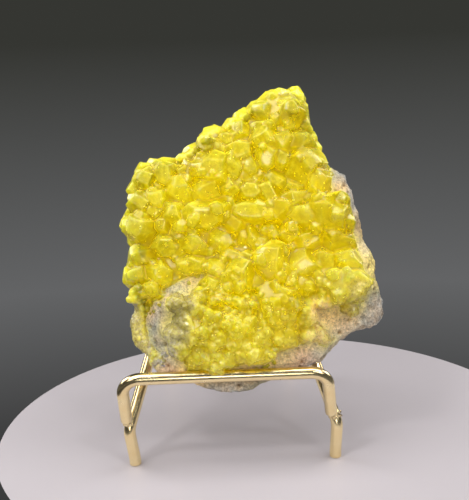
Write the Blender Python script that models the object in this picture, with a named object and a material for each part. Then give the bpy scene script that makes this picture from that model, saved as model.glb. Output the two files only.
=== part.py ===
"""Sulfur crystals on a lump of matrix rock, which rests on a small brass wire easel.

Units are metres and +Z is up. The design coordinates have x = 0 midway between the easel's two
elbows, y = 0 at its front feet with +y towards the back, and z = 0 at the surface that the feet
stand on. The rock's outline and the crystals are given as (x, z) places on its leaning front.
"""

import itertools
import math
import random

import bmesh
import bpy
import numpy as np
from mathutils import Matrix, Quaternion, Vector, noise
from mathutils.bvhtree import BVHTree

MM = 0.001

# Easel wire, and the gap that pieces keep where they touch
WIRE_DIAMETER = 3.0 * MM
WIRE_RADIUS = WIRE_DIAMETER / 2
GAP = 0.3 * MM
BEND_RADIUS = 4.5 * MM
FOOT_STRAIGHT = 1.5 * MM

# Easel frame: two wires that lean back from the elbows and come together at the top
ELBOW_HALF_SPACING = 26.4 * MM
ELBOW_HEIGHT = 9.8 * MM
ELBOW_DEPTH = -1.0 * MM
FOOT_LEFT = -25.4 * MM
FOOT_RIGHT = 26.0 * MM
FRAME_LEAN = math.radians(60)
FRAME_TAPER = 0.29
FRAME_LENGTH = 62.0 * MM
FRAME_TOP_BEND = 7.0 * MM

# Easel lip: the bar in front of the rock, and the arms that come down to the elbows
BAR_DEPTH = -7.0 * MM
BAR_HEIGHT = 25.5 * MM
BAR_LEFT = -26.7 * MM
BAR_RIGHT = 23.25 * MM
BAR_SEAT_RADIUS = WIRE_RADIUS + 0.36 * MM
ARM_END_LEFT = Vector((-26.5, -3.0, 13.2)) * MM
ARM_END_RIGHT = Vector((24.6, -3.0, 13.2)) * MM

# Easel rear leg: a crossbar behind the frame, and two legs down to the back feet
CROSSBAR_UP_FRAME = 51.0 * MM
CROSSBAR_HALF_WIDTH = 15.0 * MM
REAR_FOOT_HALF_SPACING = 20.0 * MM
REAR_FOOT_DEPTH = 63.0 * MM

# Rock: the rim is where its outline is widest, on a plane that leans back
RIM_BASE_HEIGHT = 26.0 * MM
RIM_LEAN = 0.25
ROCK_MIDDLE = Vector((5.0, 54.0)) * MM
FRONT_DEPTH = 5.5 * MM
BACK_DEPTH = 16.0 * MM
MATRIX_INSET = 2.2 * MM
MATRIX_SPOKES = 68
CRUST_SPOKES = 40
FRONT_PROFILE = ((0.24, 1.0), (0.48, 1.0), (0.70, 0.96), (0.86, 0.80), (0.96, 0.46))
BACK_PROFILE = ((0.97, 0.28), (0.91, 0.58), (0.76, 0.84), (0.53, 0.96), (0.27, 1.0))
LUMP_SIZE = 11.0 * MM
LUMP_HEIGHT = 2.0 * MM
LEDGE_SIZE = 5.5 * MM
LEDGE_HEIGHT = 1.3 * MM
LEDGE_CREST = 0.25
LEDGE_PLACE = Vector((7.0, 3.0, 1.0))

# Shape of one crystal: the lengths of sulfur's crystal axes, and how uneven its faces are
SULFUR_AXES = (0.813, 1.0, 1.903)
HABITS = 12
HABIT_SPREAD = 0.12

# Crystals: each is this much larger than the part of it that shows between its neighbours, and
# less so where it would pass the specimen's outline
CRYSTAL_GROWTH = 1.5
CRYSTAL_LEAST_GROWTH = 0.8
CRYSTAL_OVERHANG = 0.2
CRYSTAL_STAND_OUT = 0.16
CRYSTAL_DEPTH_SHARE = 0.7
CRYSTAL_LEAST_DEPTH = 1.2
CRYSTAL_SIDE_LEAN = 0.4
CRYSTAL_DOWN_LEAN = 0.2
CRYSTAL_UP_LEAN = 0.45
CRYSTAL_UPRIGHTNESS = 0.5

# Crystals between the main ones: sizes in mm that are tried from large to small
FILLER_SIZES = (5.8, 5.0, 4.4, 3.8, 3.2)
FILLER_TRIES = 500
FILLER_CROWDING = 0.80
FILLER_LEAST_COVER = 0.95
FILLER_RIM_DISTANCE = 0.85
FILLER_UNEVENNESS = 0.15
FILLER_TURN = 40
FILLER_STAND_OUT = 0.10

# Crystals in two rows round the rim, so that the specimen's edge is crystals from the side too
RIM_WIDTHS = (5.0, 6.4)
RIM_THICKNESSES = (5.0, 6.2)
RIM_HEIGHTS = (4.6, 5.6)
RIM_LEAN_SPREAD = 0.3
RIM_LEAST_COVER = 0.9
RIM_CRYSTAL_INSET = 0.43
RIM_FRONT_ROW = 1.4 * MM
RIM_ROW_SPACING = 3.8 * MM
RIM_ROW_INSET = 1.0 * MM
RIM_ROW_SHIFT = 1.5 * MM

# The crust of sulfur stands this far off the matrix, and fades out at the bare patches
CRUST_THICKNESS = 1.6 * MM
CRUST_SINK = 1.4 * MM
CRUST_WRAP = 5.0 * MM
BARE_EDGE = 1.6 * MM
CRUST_THINNING = 0.5
SEED = 16

# Outline of the whole specimen in mm, clockwise from the left of the summit
OUTLINE = (
    (12.5, 92.8), (15.0, 93.4), (18.5, 93.3), (20.5, 92.5), (21.3, 90.5), (21.7, 87.7),
    (21.2, 85.8), (21.8, 83.3), (23.5, 81.5), (24.8, 78.3), (25.4, 74.8), (27.7, 73.0),
    (30.4, 70.7), (32.2, 67.0), (33.1, 61.0), (33.2, 55.5), (35.3, 51.7), (36.6, 46.0),
    (38.6, 42.8), (39.9, 39.4), (39.4, 36.8), (37.6, 34.7), (35.0, 33.4), (30.0, 32.4),
    (27.4, 30.5), (24.5, 28.3), (21.4, 25.2), (15.0, 22.8), (10.0, 21.6), (4.2, 20.2),
    (-0.7, 19.6), (-4.5, 21.6), (-10.2, 22.6), (-15.2, 23.4), (-18.7, 24.9), (-20.2, 28.0),
    (-22.8, 31.2), (-24.0, 33.6), (-24.7, 37.7), (-23.3, 41.3), (-24.5, 43.3), (-24.1, 46.0),
    (-26.0, 48.4), (-24.9, 52.1), (-24.7, 56.4), (-26.5, 61.0), (-24.9, 64.5), (-24.1, 68.0),
    (-24.1, 70.5), (-22.5, 73.3), (-20.9, 76.0), (-17.0, 77.0), (-10.8, 77.5), (-8.9, 79.8),
    (-5.9, 82.3), (-4.0, 84.3), (1.8, 86.4), (4.1, 88.0), (7.3, 89.9), (11.4, 91.6),
)

# Broad lumps and hollows of the front in mm: x, z, radius, height
LUMPS = (
    (1.0, 31.5, 16.0, 2.6),
    (-15.5, 41.0, 6.0, 2.6),
    (-11.0, 47.0, 4.0, 1.6),
    (29.0, 46.5, 7.0, 2.4),
    (24.5, 61.0, 6.0, 1.2),
    (-4.0, 60.0, 9.0, 1.0),
    (16.0, 85.0, 8.0, 1.6),
    (9.0, 68.0, 5.0, -1.6),
    (5.0, 55.5, 7.0, -1.8),
    (-13.0, 53.0, 5.0, -1.2),
    (34.0, 38.5, 4.0, -1.2),
)

# Stretches where the matrix is bare in mm: two ends (x, z) and a half width
BARE_PATCHES = (
    ((30.5, 72.0), (33.0, 64.0), 3.4),
    ((34.0, 62.0), (35.5, 52.5), 1.9),
    ((37.5, 49.0), (39.0, 38.0), 3.2),
    ((39.0, 38.0), (30.0, 34.5), 4.6),
    ((22.0, 39.5), (29.0, 37.0), 3.2),
    ((8.0, 27.5), (22.0, 29.0), 2.0),
    ((-17.0, 21.0), (22.0, 21.5), 4.4),
    ((-9.5, 48.5), (-15.5, 42.5), 1.7),
    ((-16.5, 41.0), (-19.5, 36.0), 2.2),
    ((-19.0, 35.0), (-15.0, 26.0), 1.9),
)

# Main crystals in mm: x, z, width, height, turn in degrees
MAIN_CRYSTALS = (
    (17.2, 86.6, 8.4, 9.2, 0), (9.9, 87.6, 6.6, 6.0, 35), (10.6, 81.6, 6.0, 5.6, 10),
    (19.0, 79.9, 6.6, 4.8, 15), (19.8, 74.6, 8.4, 7.6, 0), (14.4, 76.3, 3.6, 4.8, -30),
    (10.9, 76.6, 4.6, 6.0, 5), (4.6, 83.2, 5.0, 4.4, 30), (4.2, 78.0, 5.2, 4.4, -10),
    (-1.2, 83.4, 5.6, 3.4, 25), (-3.5, 79.8, 7.2, 6.0, 10), (-3.0, 74.4, 7.2, 6.6, 0),
    (1.6, 74.2, 4.2, 6.2, 10), (-8.2, 77.4, 3.8, 4.2, 30), (-8.4, 73.4, 3.4, 5.0, 0),
    (-14.4, 73.4, 5.4, 5.6, 0), (-19.6, 72.2, 5.0, 5.2, 20), (-11.2, 69.8, 6.0, 5.0, 15),
    (-4.6, 69.6, 6.2, 5.2, -20), (0.6, 69.4, 4.6, 4.8, 25), (4.9, 72.2, 6.2, 2.6, 38),
    (6.4, 68.4, 5.4, 3.8, -10), (12.8, 70.9, 5.4, 3.2, 12), (17.0, 69.6, 4.8, 3.0, 8),
    (22.6, 70.0, 4.8, 6.0, 15), (-16.2, 67.4, 4.2, 4.0, -25), (-20.4, 66.2, 5.2, 4.6, 5),
    (-12.4, 63.8, 5.4, 4.6, 30), (-4.8, 63.4, 9.4, 6.0, -8), (5.6, 63.8, 9.2, 5.0, 5),
    (13.2, 63.6, 6.4, 5.6, -15), (19.6, 62.4, 6.4, 4.8, 20), (17.4, 66.4, 5.2, 4.0, -10),
    (25.4, 62.6, 7.2, 7.6, 0), (-20.8, 60.6, 5.6, 5.4, 0), (-14.5, 56.8, 5.8, 5.0, -20),
    (-21.0, 53.8, 5.8, 5.4, 10), (-8.0, 56.8, 5.4, 4.2, 15), (-1.6, 57.0, 5.0, 3.8, 20),
    (-22.0, 49.4, 6.4, 4.8, -15), (-16.4, 49.6, 5.8, 4.6, 20), (-8.2, 52.2, 4.4, 3.6, 0),
    (-2.8, 50.6, 4.2, 4.4, -15), (2.0, 49.0, 8.0, 6.4, -10), (1.6, 53.6, 6.6, 2.6, 16),
    (6.4, 57.4, 2.8, 5.4, -15), (10.8, 58.4, 4.2, 4.0, 0), (15.6, 58.2, 4.6, 4.4, 20),
    (10.2, 52.0, 7.2, 8.0, 0), (18.4, 51.2, 7.0, 6.2, 0), (20.0, 56.4, 6.0, 3.6, -20),
    (14.0, 49.4, 4.0, 4.4, 10), (26.2, 56.4, 7.4, 5.2, -5), (28.6, 52.0, 6.4, 4.8, 20),
    (22.6, 47.2, 4.8, 5.0, -10), (16.6, 46.6, 6.2, 3.8, 15), (8.4, 46.6, 5.6, 3.4, 10),
    (11.6, 42.0, 7.6, 8.6, 0), (28.6, 46.0, 9.2, 6.4, -8), (4.4, 42.6, 5.2, 4.0, 35),
    (-2.6, 44.2, 4.4, 3.8, -20), (17.6, 39.6, 5.4, 4.8, 15), (1.8, 37.6, 6.6, 5.4, 10),
    (-4.0, 39.6, 4.8, 4.2, 0), (-8.0, 36.0, 5.6, 4.4, -10), (-3.2, 34.2, 5.2, 4.2, 20),
    (-12.2, 32.4, 4.2, 3.2, 15), (7.6, 35.0, 4.2, 3.6, 0), (13.2, 34.6, 4.4, 3.8, 30),
    (29.8, 40.2, 3.4, 3.2, 0), (-21.8, 44.6, 4.0, 3.8, 0), (-21.6, 39.6, 3.4, 3.8, 10),
    (1.0, 33.0, 3.6, 3.0, 0), (18.6, 34.6, 3.6, 3.0, 0), (-22.2, 35.0, 3.4, 3.4, -10),
    (-12.6, 43.6, 3.6, 3.2, 0), (-10.6, 39.2, 3.4, 3.2, 25), (-13.6, 36.2, 3.6, 3.4, -15),
    (-8.0, 42.6, 3.4, 3.2, 10), (23.0, 42.6, 4.0, 3.6, -20), (-7.4, 30.8, 3.6, 3.0, 10),
    (8.6, 30.8, 3.8, 3.0, -10),
)


def remove_scene_objects():
    for scene_object in list(bpy.data.objects):
        bpy.data.objects.remove(scene_object, do_unlink=True)


def material(name, color, roughness, metallic=0.0):
    """A plain Principled material."""
    new_material = bpy.data.materials.new(name)
    new_material.use_nodes = True
    shader = new_material.node_tree.nodes["Principled BSDF"]
    shader.inputs["Base Color"].default_value = (*color, 1.0)
    shader.inputs["Roughness"].default_value = roughness
    shader.inputs["Metallic"].default_value = metallic
    return new_material


def add_object(name, data, finish, carrier):
    """Link a new object that carries one material and hangs on the given empty."""
    new_object = bpy.data.objects.new(name, data)
    bpy.context.collection.objects.link(new_object)
    if finish:
        data.materials.append(finish)
    new_object.parent = carrier
    return new_object


def add_cutter(name, data, carrier):
    """Link a helper object that only Boolean modifiers read."""
    cutter = add_object(name, data, None, carrier)
    cutter.hide_render = True
    cutter.display_type = "WIRE"
    return cutter


def smoothstep(low, high, value):
    """Rise smoothly from 0 at low to 1 at high."""
    t = min(1.0, max(0.0, (value - low) / (high - low)))
    return t * t * (3 - 2 * t)


# Wires of the easel


def rounded_path(corners, radii, arc_steps=6):
    """The line through the corners, with each inner corner bent to its radius."""
    points = [corners[0]]
    for before, corner, after, radius in zip(corners, corners[1:], corners[2:], radii):
        back = (before - corner).normalized()
        ahead = (after - corner).normalized()
        half_angle = back.angle(ahead) / 2
        setback = radius / math.tan(half_angle)
        centre = corner + (back + ahead).normalized() * radius / math.sin(half_angle)
        start = corner + back * setback - centre
        end = corner + ahead * setback - centre
        steps = max(2, round(arc_steps * start.angle(end) / (math.pi / 2)))
        for step in range(steps + 1):
            turned = Quaternion(start.cross(end), start.angle(end) * step / steps) @ start
            points.append(centre + turned)
    points.append(corners[-1])
    return points


def wire(name, corners, radii, finish, carrier, thickness=WIRE_DIAMETER):
    """A round wire with flat cut ends, bent along the corners."""
    curve = bpy.data.curves.new(name, "CURVE")
    curve.dimensions = "3D"
    curve.bevel_depth = thickness / 2
    curve.bevel_resolution = 4
    curve.render_resolution_u = 0
    curve.use_fill_caps = True
    points = rounded_path(corners, radii)
    spline = curve.splines.new("POLY")
    spline.points.add(len(points) - 1)
    for spline_point, place in zip(spline.points, points):
        spline_point.co = (*place, 1.0)
    spline.use_smooth = True
    return add_object(name, curve, finish, carrier)


def frame_point(side, up):
    """A point on the left (-1) or right (1) frame wire, this far up its slope."""
    return Vector((
        side * (ELBOW_HALF_SPACING - FRAME_TAPER * up),
        ELBOW_DEPTH + up * math.cos(FRAME_LEAN),
        ELBOW_HEIGHT + up * math.sin(FRAME_LEAN),
    ))


def easel_frame(finish, carrier):
    left_foot = Vector((FOOT_LEFT, 0, 0))
    right_foot = Vector((FOOT_RIGHT, 0, 0))
    above_foot = Vector((0, 0, FOOT_STRAIGHT))
    corners = [
        left_foot, left_foot + above_foot,
        frame_point(-1, 0), frame_point(-1, FRAME_LENGTH),
        frame_point(1, FRAME_LENGTH), frame_point(1, 0),
        right_foot + above_foot, right_foot,
    ]
    radii = [BEND_RADIUS, BEND_RADIUS, FRAME_TOP_BEND, FRAME_TOP_BEND, BEND_RADIUS, BEND_RADIUS]
    return wire("easel_frame", corners, radii, finish, carrier)


def easel_lip(finish, carrier, name="easel_lip", thickness=WIRE_DIAMETER):
    corners = [
        ARM_END_LEFT,
        Vector((BAR_LEFT, BAR_DEPTH, BAR_HEIGHT)),
        Vector((BAR_RIGHT, BAR_DEPTH, BAR_HEIGHT)),
        ARM_END_RIGHT,
    ]
    return wire(name, corners, [BEND_RADIUS, BEND_RADIUS], finish, carrier, thickness)


def easel_rear_leg(finish, carrier):
    behind_frame = WIRE_DIAMETER + GAP
    meeting = frame_point(0, CROSSBAR_UP_FRAME)
    crossbar_depth = meeting.y + behind_frame * math.sin(FRAME_LEAN)
    crossbar_height = meeting.z - behind_frame * math.cos(FRAME_LEAN)
    corners = []
    for side in (-1, 1):
        foot = Vector((side * REAR_FOOT_HALF_SPACING, REAR_FOOT_DEPTH, 0))
        leg = [foot, foot + Vector((0, 0, FOOT_STRAIGHT))]
        leg.append(Vector((side * CROSSBAR_HALF_WIDTH, crossbar_depth, crossbar_height)))
        corners += leg if side < 0 else reversed(leg)
    radii = [FOOT_STRAIGHT, BEND_RADIUS, BEND_RADIUS, FOOT_STRAIGHT]
    return wire("easel_rear_leg", corners, radii, finish, carrier)


# Rock and crust


def rim_depth(z):
    return (z - RIM_BASE_HEIGHT) * RIM_LEAN


def distance_to_segment(point, start, end):
    along = end - start
    t = min(1.0, max(0.0, (point - start).dot(along) / along.length_squared))
    return (point - start - along * t).length


def crust_cover(x, y, z):
    """1 where sulfur covers the matrix, 0 on bare rock and on the back."""
    place = Vector((x, z))
    cover = 1.0
    for start, end, half_width in BARE_PATCHES:
        distance = distance_to_segment(place, Vector(start) * MM, Vector(end) * MM)
        cover = min(cover, smoothstep(half_width * MM, half_width * MM + BARE_EDGE, distance))
    behind_rim = y - rim_depth(z)
    return cover * (1 - smoothstep(CRUST_WRAP - BARE_EDGE, CRUST_WRAP, behind_rim))


def inset_from_outline(x, z):
    """How far inside the specimen's outline a place in mm lies, and below 0 outside it."""
    place = Vector((x, z))
    inside = False
    nearest = math.inf
    for start, end in zip(OUTLINE, OUTLINE[1:] + OUTLINE[:1]):
        nearest = min(nearest, distance_to_segment(place, Vector(start), Vector(end)))
        if (start[1] > z) != (end[1] > z):
            crossing = start[0] + (z - start[1]) / (end[1] - start[1]) * (end[0] - start[0])
            if x < crossing:
                inside = not inside
    return nearest if inside else -nearest


def lump_height(x, z):
    """How far the broad lumps and hollows move the front forward."""
    height = 0.0
    for lump_x, lump_z, radius, lump in LUMPS:
        spread = ((x / MM - lump_x) ** 2 + (z / MM - lump_z) ** 2) / radius ** 2
        height += lump * MM * math.exp(-spread)
    return height


def resampled_outline(count):
    """Evenly spaced points along the outline, as (x, z) in metres."""
    corners = [Vector(corner) * MM for corner in OUTLINE]
    sides = list(zip(corners, corners[1:] + corners[:1]))
    lengths = [(end - start).length for start, end in sides]
    spacing = sum(lengths) / count
    points = []
    walked = 0.0
    for (start, end), length in zip(sides, lengths):
        while len(points) * spacing < walked + length and len(points) < count:
            points.append(start.lerp(end, (len(points) * spacing - walked) / length))
        walked += length
    return points


def keep_clear_of_easel(place):
    """Move a rock point off the frame wires behind it and the bar in front of it."""
    clearance = WIRE_RADIUS + GAP
    frame_face = ELBOW_DEPTH - clearance / math.sin(FRAME_LEAN)
    frame_face += (place.z - ELBOW_HEIGHT) / math.tan(FRAME_LEAN)
    place.y = min(place.y, frame_face)
    bar_clearance = BAR_SEAT_RADIUS + GAP
    height_off_bar = abs(place.z - BAR_HEIGHT)
    if height_off_bar < bar_clearance:
        reach = math.sqrt(bar_clearance ** 2 - height_off_bar ** 2)
        place.y = max(place.y, BAR_DEPTH + reach)
    return place


def rock_mesh(name, spokes, offset):
    """The matrix as a closed lump; offset(x, y, z) moves its surface out along its normals."""
    bm = bmesh.new()
    rim = []
    for place in resampled_outline(spokes):
        cover = crust_cover(place.x, rim_depth(place.y), place.y)
        inward = (ROCK_MIDDLE - place).normalized()
        rim.append(place + inward * MATRIX_INSET * cover)
    profile = [(reach, -FRONT_DEPTH * depth) for reach, depth in FRONT_PROFILE]
    profile.append((1.0, 0.0))
    profile += [(reach, BACK_DEPTH * depth) for reach, depth in BACK_PROFILE]
    rings = []
    for reach, depth in profile:
        ring = []
        for place in rim:
            x, z = ROCK_MIDDLE.lerp(place, reach)
            ring.append(bm.verts.new((x, rim_depth(z) + depth, z)))
        rings.append(ring)
    middle_depth = rim_depth(ROCK_MIDDLE.y)
    front_pole = bm.verts.new((ROCK_MIDDLE.x, middle_depth - FRONT_DEPTH, ROCK_MIDDLE.y))
    back_pole = bm.verts.new((ROCK_MIDDLE.x, middle_depth + BACK_DEPTH, ROCK_MIDDLE.y))
    for i in range(spokes):
        j = (i + 1) % spokes
        bm.faces.new((front_pole, rings[0][j], rings[0][i]))
        bm.faces.new((back_pole, rings[-1][i], rings[-1][j]))
        for ring, next_ring in zip(rings, rings[1:]):
            bm.faces.new((ring[i], ring[j], next_ring[j], next_ring[i]))
    bmesh.ops.recalc_face_normals(bm, faces=bm.faces)
    bm.normal_update()
    for vert in bm.verts:
        if vert.co.y < rim_depth(vert.co.z):
            vert.co.y -= lump_height(vert.co.x, vert.co.z)
        lump = noise.noise(vert.co / LUMP_SIZE) * LUMP_HEIGHT
        ridge = LEDGE_CREST - abs(noise.noise(vert.co / LEDGE_SIZE + LEDGE_PLACE))
        ledge = ridge * LEDGE_HEIGHT
        vert.co += vert.normal * (lump + ledge)
        vert.co = keep_clear_of_easel(vert.co)
    bm.normal_update()
    moves = [vert.normal * offset(*vert.co) for vert in bm.verts]
    for vert, move in zip(bm.verts, moves):
        vert.co += move
    bmesh.ops.triangulate(bm, faces=bm.faces)
    mesh = bpy.data.meshes.new(name)
    bm.to_mesh(mesh)
    bm.free()
    return mesh


def convex_corners(planes):
    """Corners of the solid inside a set of planes, each a normal and a distance."""
    normals = np.array([normal for normal, _ in planes])
    distances = np.array([distance for _, distance in planes])
    corners = []
    for three in itertools.combinations(range(len(planes)), 3):
        system = normals[list(three)]
        if abs(np.linalg.det(system)) < 1e-6:
            continue
        corner = np.linalg.solve(system, distances[list(three)])
        inside = np.all(normals @ corner <= distances + 1e-9)
        if inside and all(np.linalg.norm(corner - other) > 1e-3 for other in corners):
            corners.append(corner)
    return np.array(corners)


def sulfur_habit(rng):
    """One stubby sulfur crystal, a dipyramid with cut tips, a face to the front, in a box of size 1."""
    a, b, c = SULFUR_AXES
    planes = []
    for sx, sy, sz in itertools.product((-1, 1), repeat=3):
        planes.append((sx / a, sy / b, sz / c))
    for sy, sz in itertools.product((-1, 1), repeat=2):
        planes.append((0, sy / b, sz / c))
    planes += [(0, 0, 1), (0, 0, -1)]
    cut = []
    for plane in planes:
        normal = np.array(plane) / np.linalg.norm(plane)
        cut.append((normal, 1 + rng.uniform(-HABIT_SPREAD, HABIT_SPREAD)))
    front_face = Vector(rng.choice(cut)[0])
    spin = Quaternion((0, 1, 0), rng.uniform(0, 2 * math.pi))
    turn = (spin @ front_face.rotation_difference(Vector((0, -1, 0)))).to_matrix()
    corners = convex_corners(cut) @ np.array(turn).T
    low, high = corners.min(axis=0), corners.max(axis=0)
    return (corners - (low + high) / 2) / (high - low)


def surface_depth(tree, x, z):
    """Depth of the rock's front surface straight behind the place (x, z)."""
    hit, normal, _, _ = tree.ray_cast(Vector((x, -1.0, z)), Vector((0, 1, 0)))
    if hit is None:
        return rim_depth(z), Vector((0, -1, 0))
    return hit.y, normal


def add_crystal(bm, corners, place, size, facing, turn):
    """Add one crystal: its box has this size, with its depth along facing."""
    upright = facing.to_track_quat("-Y", "Z").to_matrix()
    turned = upright @ Matrix.Rotation(turn, 3, "Y")
    verts = []
    for corner in corners:
        local = Vector([length * part for length, part in zip(size, corner)])
        verts.append(bm.verts.new(place + turned @ local))
    hull = bmesh.ops.convex_hull(bm, input=verts)
    bmesh.ops.delete(bm, geom=hull["geom_unused"] + hull["geom_interior"], context="VERTS")


def front_crystal(bm, tree, rng, habits, outline_size, turn, stand_out):
    """A crystal on the front, given by its x, z, width and height in mm."""
    x, z, width, height = outline_size
    depth, normal = surface_depth(tree, x * MM, z * MM)
    thickness = CRYSTAL_DEPTH_SHARE * min(width, height) + CRYSTAL_LEAST_DEPTH
    room = 2 * (inset_from_outline(x, z) + CRYSTAL_OVERHANG) / max(width, height)
    growth = min(CRYSTAL_GROWTH, max(CRYSTAL_LEAST_GROWTH, room))
    size = Vector((width * growth, thickness * CRYSTAL_GROWTH, height * growth)) * MM
    place = Vector((x * MM, depth - stand_out * size.y, z * MM))
    sideways = rng.uniform(-CRYSTAL_SIDE_LEAN, CRYSTAL_SIDE_LEAN)
    upwards = rng.uniform(-CRYSTAL_DOWN_LEAN, CRYSTAL_UP_LEAN)
    lean = Vector((sideways, -1.0, upwards)).normalized()
    facing = (normal * CRYSTAL_UPRIGHTNESS + lean).normalized()
    add_crystal(bm, rng.choice(habits), place, size, facing, math.radians(turn))


def main_crystals(bm, tree, rng, habits):
    """The large crystals, each where it shows on the front."""
    for x, z, width, height, turn in MAIN_CRYSTALS:
        front_crystal(bm, tree, rng, habits, (x, z, width, height), turn, CRYSTAL_STAND_OUT)


def filler_crystals(bm, tree, rng, habits):
    """Smaller crystals on the crust that shows between the large ones."""
    taken = [(x, z, (width + height) / 4) for x, z, width, height, _ in MAIN_CRYSTALS]
    low_x, high_x = (pick(x for x, _ in OUTLINE) for pick in (min, max))
    low_z, high_z = (pick(z for _, z in OUTLINE) for pick in (min, max))
    for size in FILLER_SIZES:
        for _ in range(FILLER_TRIES):
            x = rng.uniform(low_x, high_x)
            z = rng.uniform(low_z, high_z)
            gaps = (
                math.hypot(x - other_x, z - other_z) / (radius + size / 2)
                for other_x, other_z, radius in taken
            )
            if min(gaps) < FILLER_CROWDING or inset_from_outline(x, z) < FILLER_RIM_DISTANCE * size:
                continue
            sides = ((x - size / 2, z), (x + size / 2, z), (x, z - size / 2), (x, z + size / 2))
            covers = (
                crust_cover(side_x * MM, rim_depth(side_z * MM), side_z * MM)
                for side_x, side_z in sides
            )
            if min(covers) < FILLER_LEAST_COVER:
                continue
            width = size * rng.uniform(1 - FILLER_UNEVENNESS, 1 + FILLER_UNEVENNESS)
            height = size * rng.uniform(1 - FILLER_UNEVENNESS, 1 + FILLER_UNEVENNESS)
            turn = rng.uniform(-FILLER_TURN, FILLER_TURN)
            front_crystal(bm, tree, rng, habits, (x, z, width, height), turn, FILLER_STAND_OUT)
            taken.append((x, z, size / 2))


def rim_crystals(bm, rng, habits):
    """Crystals at every corner of the outline that sulfur covers."""
    outline = [Vector(corner) * MM for corner in OUTLINE]
    for before, corner, after in zip(outline[-1:] + outline, outline, outline[1:] + outline[:1]):
        if crust_cover(corner.x, rim_depth(corner.y), corner.y) < RIM_LEAST_COVER:
            continue
        along = (after - before).normalized()
        outward = Vector((-along.y, along.x))
        for row in (0, 1):
            ranges = (RIM_WIDTHS, RIM_THICKNESSES, RIM_HEIGHTS)
            size = Vector([rng.uniform(*lengths) for lengths in ranges]) * MM
            inset = RIM_CRYSTAL_INSET * size.z + row * RIM_ROW_INSET
            middle = corner - outward * inset + along * row * RIM_ROW_SHIFT
            depth = rim_depth(corner.y) - RIM_FRONT_ROW + row * RIM_ROW_SPACING
            sideways = rng.uniform(-RIM_LEAN_SPREAD, RIM_LEAN_SPREAD)
            upwards = rng.uniform(-RIM_LEAN_SPREAD, RIM_LEAN_SPREAD)
            facing = Vector((sideways, -1, upwards)).normalized()
            turn = -math.atan2(along.y, along.x)
            place = Vector((middle.x, depth, middle.y))
            add_crystal(bm, rng.choice(habits), place, size, facing, turn)


def crystal_cluster(tree):
    """All crystals as overlapping closed shells in one mesh, placed on the surface in tree."""
    rng = random.Random(SEED)
    habits = [sulfur_habit(rng) for _ in range(HABITS)]
    bm = bmesh.new()
    main_crystals(bm, tree, rng, habits)
    filler_crystals(bm, tree, rng, habits)
    rim_crystals(bm, rng, habits)
    bmesh.ops.recalc_face_normals(bm, faces=bm.faces)
    mesh = bpy.data.meshes.new("crystal_cluster")
    bm.to_mesh(mesh)
    bm.free()
    return mesh


def boolean(target, operation, cutter, overlapping=False):
    modifier = target.modifiers.new(operation.lower(), "BOOLEAN")
    modifier.operation = operation
    modifier.object = cutter
    modifier.use_self = overlapping


def connected_verts(start):
    """All vertices that edges join to this one."""
    found = {start}
    waiting = [start]
    while waiting:
        for edge in waiting.pop().link_edges:
            for vert in edge.verts:
                if vert not in found:
                    found.add(vert)
                    waiting.append(vert)
    return found


def apply_without_splinters(target):
    """Apply the modifiers, and drop the loose splinters that cutting left beside the main body."""
    graph = bpy.context.evaluated_depsgraph_get()
    applied = bpy.data.meshes.new_from_object(target.evaluated_get(graph))
    target.modifiers.clear()
    bm = bmesh.new()
    bm.from_mesh(applied)
    bodies = []
    unseen = set(bm.verts)
    while unseen:
        body = connected_verts(next(iter(unseen)))
        unseen -= body
        bodies.append(body)
    bodies.sort(key=len)
    splinters = [vert for body in bodies[:-1] for vert in body]
    bmesh.ops.delete(bm, geom=splinters, context="VERTS")
    bm.to_mesh(applied)
    bm.free()
    target.data = applied


def sulfur_crystals(finish, carrier):
    """The crust, with every crystal joined to it, hollowed to sit on the matrix."""
    def crust_offset(x, y, z):
        cover = crust_cover(x, y, z)
        return CRUST_THICKNESS * cover - CRUST_SINK * (1 - cover)

    hollow_mesh = rock_mesh("matrix_hollow", MATRIX_SPOKES, lambda x, y, z: GAP)
    surface = bmesh.new()
    surface.from_mesh(hollow_mesh)
    cluster_mesh = crystal_cluster(BVHTree.FromBMesh(surface))
    surface.free()
    crust_mesh = rock_mesh("sulfur_crystals", CRUST_SPOKES, crust_offset)
    sulfur = add_object("sulfur_crystals", crust_mesh, finish, carrier)
    cluster = add_cutter("crystal_cluster", cluster_mesh, carrier)
    hollow = add_cutter("matrix_hollow", hollow_mesh, carrier)
    boolean(sulfur, "UNION", cluster, overlapping=True)
    boolean(sulfur, "DIFFERENCE", hollow)
    thinning = sulfur.modifiers.new("thinning", "DECIMATE")
    thinning.ratio = CRUST_THINNING
    seat = lip_seat(carrier)
    boolean(sulfur, "DIFFERENCE", seat)
    apply_without_splinters(sulfur)
    for cutter in (cluster, hollow, seat):
        bpy.data.objects.remove(cutter)
    return sulfur


def lip_seat(carrier):
    """A cutter that follows the lip, a gap wider than its wire."""
    wide_lip = easel_lip(None, carrier, "lip_seat", 2 * BAR_SEAT_RADIUS)
    mesh = bpy.data.meshes.new_from_object(wide_lip)
    bpy.data.objects.remove(wide_lip)
    return add_cutter("lip_seat", mesh, carrier)


def matrix_rock(finish, carrier):
    """The lump of rock, with a shallow seat where it bears on the lip."""
    mesh = rock_mesh("matrix_rock", MATRIX_SPOKES, lambda x, y, z: 0.0)
    rock = add_object("matrix_rock", mesh, finish, carrier)
    boolean(rock, "DIFFERENCE", lip_seat(carrier))
    return rock


def centre_on_origin(carrier, pieces):
    """Move the model so that the middle of its box stands on the world's origin."""
    bpy.context.view_layer.update()
    graph = bpy.context.evaluated_depsgraph_get()
    places = []
    for piece in pieces:
        evaluated = piece.evaluated_get(graph)
        mesh = evaluated.to_mesh()
        places += [piece.matrix_world @ vert.co for vert in mesh.vertices]
        evaluated.to_mesh_clear()
    for axis in (0, 1):
        values = [place[axis] for place in places]
        carrier.location[axis] = -(min(values) + max(values)) / 2
    carrier.location[2] = -min(place.z for place in places)


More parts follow.
